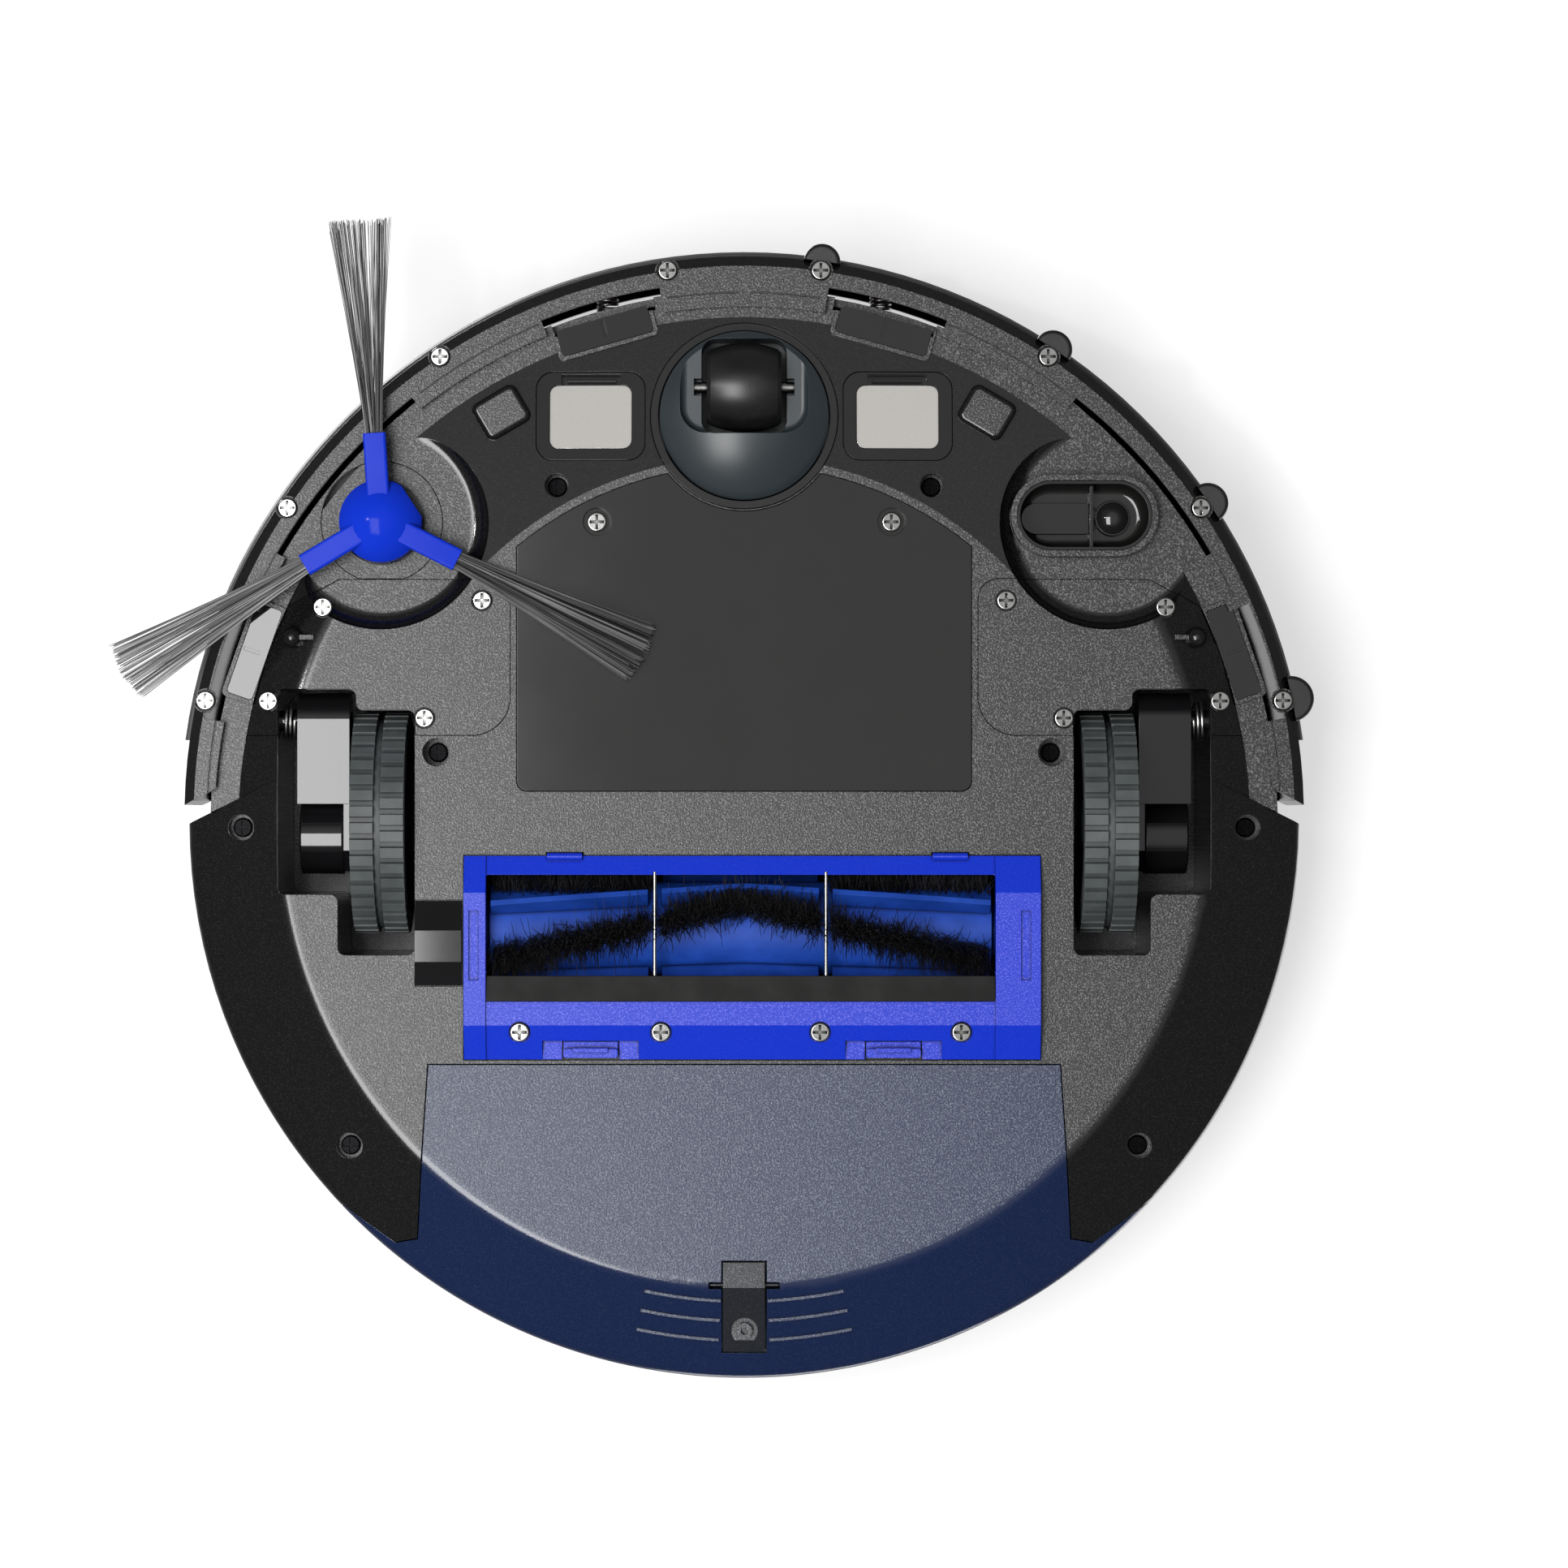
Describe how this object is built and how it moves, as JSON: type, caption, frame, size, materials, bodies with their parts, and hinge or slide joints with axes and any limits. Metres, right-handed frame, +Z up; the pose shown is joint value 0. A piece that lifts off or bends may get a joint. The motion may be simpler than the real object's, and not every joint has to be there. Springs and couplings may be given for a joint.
{
  "type": "robot vacuum",
  "caption": "Round robot vacuum with a spring bumper, caster, driven wheels, side brush, main brush under an opening guard and a rear dustbin.",
  "frame": {"origin": "on the floor, midway between the two drive wheels' contact points, under the rear body's centre", "axes": "+Z up, -Y forwards (bumper), +X towards the robot's left; the side brush is at -X"},
  "size_m": [0.3464, 0.3332, 0.072],
  "materials": {
    "speckled_plastic": "fine moulded grain",
    "dark_plastic": "smooth satin",
    "gloss_black": "polished",
    "slate_plastic": "satin",
    "blue_plastic": "satin gloss",
    "blue_rubber": "soft satin",
    "navy_translucent": "translucent navy",
    "smoke_window": "dark infrared window",
    "black_rubber": "satin",
    "grey_rubber": "matt",
    "tyre_rubber": "ribbed matt",
    "screw_steel": "bright zinc",
    "contact_steel": "nickel plate",
    "spring_steel": "plain",
    "grey_bristle": "nylon",
    "black_bristle": "nylon",
    "circuit_green": "solder mask",
    "motor_steel": "zinc can",
    "battery_wrap": "shrink wrap",
    "filter_paper": "pleated",
    "sensor_glass": "dark lens"
  },
  "bodies": {
    "chassis": {"base_housing": "speckled_plastic", "upper_housing": "dark_plastic", "top_cover": "dark_plastic", "top_panel": "gloss_black", "wheel_cover_left": "speckled_plastic", "wheel_cover_right": "speckled_plastic", "cover_screws": "screw_steel", "housing_screws": "screw_steel", "battery_cover": "dark_plastic", "battery_pack": "battery_wrap", "main_board": "circuit_green", "charging_bezels": "gloss_black", "charging_contacts": "contact_steel", "cliff_windows_front": "sensor_glass", "cliff_windows_side": "sensor_glass", "tracking_sensor_bezel": "dark_plastic", "tracking_sensor_light": "sensor_glass", "tracking_sensor_lens": "sensor_glass", "side_brush_gearbox": "speckled_plastic", "brush_gearbox_cover": "gloss_black", "brush_motor": "motor_steel", "fan_housing": "dark_plastic", "fan_motor": "motor_steel", "caster_seat": "dark_plastic", "bumper_springs": "spring_steel", "wheel_springs": "spring_steel"},
    "bumper": {"bumper_shell": "speckled_plastic", "rub_strip": "grey_rubber", "bumper_screws": "screw_steel", "rub_buffers": "black_rubber", "ir_window": "smoke_window"},
    "caster_fork": {"caster_housing": "slate_plastic", "caster_axle": "screw_steel"},
    "caster_roller": {"caster_wheel": "black_rubber"},
    "side_brush": {"side_brush_hub": "blue_plastic", "side_brush_bristles": "grey_bristle", "side_brush_shaft": "spring_steel"},
    "main_brush": {"main_brush_core": "blue_plastic", "main_brush_blades": "blue_rubber", "main_brush_bristles": "black_bristle"},
    "arm_left": {"wheel_arm_left": "gloss_black", "wheel_motor_left": "gloss_black"},
    "arm_right": {"wheel_arm_right": "gloss_black", "wheel_motor_right": "gloss_black"},
    "wheel_left": {"wheel_hub_left": "slate_plastic", "wheel_tyre_left": "tyre_rubber"},
    "wheel_right": {"wheel_hub_right": "slate_plastic", "wheel_tyre_right": "tyre_rubber"},
    "guard": {"brush_guard": "blue_plastic", "guard_scraper": "black_rubber", "guard_wires": "screw_steel", "guard_screws": "screw_steel"},
    "guard_tab_left": {"guard_latch_left": "blue_plastic"},
    "guard_tab_right": {"guard_latch_right": "blue_plastic"},
    "bin": {"dustbin": "navy_translucent", "dustbin_lid": "navy_translucent", "dustbin_filter": "filter_paper"},
    "bin_release": {"bin_latch": "slate_plastic"},
    "button": {"power_button": "gloss_black"},
    "fan": {"fan_impeller": "dark_plastic"}
  },
  "joints": [
    {"name": "bumper_press", "type": "slide", "parent": "chassis", "child": "bumper", "axis": [0, 1, 0], "range_m": [0, 0.004], "stiffness_N_per_m": 500, "springref_m": -0.002, "deforming": ["bumper_springs"]},
    {"name": "caster_swivel", "type": "hinge", "parent": "chassis", "child": "caster_fork", "pos_m": [0, -0.1169, 0.03], "axis": [0, 0, 1], "continuous": true},
    {"name": "caster_spin", "type": "hinge", "parent": "caster_fork", "child": "caster_roller", "pos_m": [0, -0.125, 0.0128], "axis": [1, 0, 0], "continuous": true},
    {"name": "side_brush_spin", "type": "hinge", "parent": "chassis", "child": "side_brush", "pos_m": [-0.1042, -0.0865, 0.014], "axis": [0, 0, 1], "continuous": true, "deforming": ["side_brush_bristles"]},
    {"name": "main_brush_spin", "type": "hinge", "parent": "chassis", "child": "main_brush", "pos_m": [0, 0.0305, 0.026], "axis": [1, 0, 0], "continuous": true},
    {"name": "suspension_left", "type": "hinge", "parent": "chassis", "child": "arm_left", "pos_m": [-0.121, -0.0295, 0.024], "axis": [-1, 0, 0], "range_deg": [0, 30], "stiffness_Nm_per_rad": 0.05, "springref_deg": 68.75, "deforming": ["wheel_springs"]},
    {"name": "wheel_spin_left", "type": "hinge", "parent": "arm_left", "child": "wheel_left", "pos_m": [-0.1048, 0, 0.032], "axis": [1, 0, 0], "continuous": true},
    {"name": "suspension_right", "type": "hinge", "parent": "chassis", "child": "arm_right", "pos_m": [0.121, -0.0295, 0.024], "axis": [-1, 0, 0], "range_deg": [0, 30], "stiffness_Nm_per_rad": 0.05, "springref_deg": 68.75, "deforming": ["wheel_springs"]},
    {"name": "wheel_spin_right", "type": "hinge", "parent": "arm_right", "child": "wheel_right", "pos_m": [0.1048, 0, 0.032], "axis": [1, 0, 0], "continuous": true},
    {"name": "guard_open", "type": "hinge", "parent": "chassis", "child": "guard", "pos_m": [0.0023, 0.0096, 0.009], "axis": [-1, 0, 0], "range_deg": [0, 75]},
    {"name": "guard_latch_left", "type": "slide", "parent": "guard", "child": "guard_tab_left", "axis": [0, -1, 0], "range_m": [0, 0.002], "stiffness_N_per_m": 150, "springref_m": -0.002},
    {"name": "guard_latch_right", "type": "slide", "parent": "guard", "child": "guard_tab_right", "axis": [0, -1, 0], "range_m": [0, 0.002], "stiffness_N_per_m": 150, "springref_m": -0.002},
    {"name": "dustbin_slide", "type": "slide", "parent": "chassis", "child": "bin", "axis": [0, 1, 0], "range_m": [0, 0.1]},
    {"name": "bin_release_press", "type": "hinge", "parent": "bin", "child": "bin_release", "pos_m": [0, 0.1326, 0.0134], "axis": [1, 0, 0], "range_deg": [0, 4], "stiffness_Nm_per_rad": 0.2, "springref_deg": -2.86},
    {"name": "power_press", "type": "slide", "parent": "chassis", "child": "button", "axis": [0, 0, -1], "range_m": [0, 0.0008], "stiffness_N_per_m": 400, "springref_m": -0.0006},
    {"name": "fan_spin", "type": "hinge", "parent": "chassis", "child": "fan", "pos_m": [0.116, 0.065, 0.04], "axis": [0, 0, 1], "continuous": true}
  ]
}
